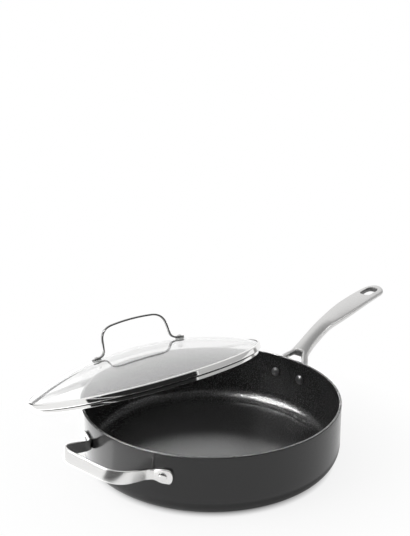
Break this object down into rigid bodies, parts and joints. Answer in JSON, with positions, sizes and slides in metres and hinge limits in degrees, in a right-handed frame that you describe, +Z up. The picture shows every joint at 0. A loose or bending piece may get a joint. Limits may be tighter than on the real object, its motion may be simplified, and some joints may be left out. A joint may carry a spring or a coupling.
{
  "type": "skillet with lid",
  "caption": "Deep straight-sided skillet with a forked long handle, a helper handle and a domed glass lid that leans on its rim.",
  "frame": {"origin": "centre of the pan's flat base, on the pan's axis", "axes": "+Z up the pan's axis, +X along the long handle, the lid leans on the +Y side"},
  "size_m": [0.5434, 0.4181, 0.1318],
  "materials": {
    "anodised_pan": "hard-anodised outside, speckled dark non-stick coating inside",
    "coated_rivet": "dark coated rivet",
    "polished_rivet": "bright outside, dark coated inside",
    "satin_steel": "satin",
    "polished_steel": "polished",
    "clear_glass": "clear tempered glass",
    "silicone": "translucent soft seal"
  },
  "bodies": {
    "pan": {"pan_body": "anodised_pan", "long_handle": "satin_steel", "handle_rivet_left": "coated_rivet", "handle_rivet_right": "coated_rivet", "helper_handle": "polished_steel", "helper_rivet_left": "polished_rivet", "helper_rivet_right": "polished_rivet"},
    "lid": {"lid_glass": "clear_glass", "lid_rim": "polished_steel", "lid_handle": "satin_steel", "lid_screw_left": "polished_steel", "lid_screw_right": "polished_steel", "lid_washer_left": "silicone", "lid_washer_right": "silicone", "lid_sleeve_left": "silicone", "lid_sleeve_right": "silicone", "lid_plate_left": "polished_steel", "lid_plate_right": "polished_steel", "lid_nut_left": "polished_steel", "lid_nut_right": "polished_steel"}
  },
  "joints": [
    {"name": "lid_lift", "type": "slide", "parent": "pan", "child": "lid", "axis": [0, 0, 1], "range_m": [0, 0.25]}
  ]
}
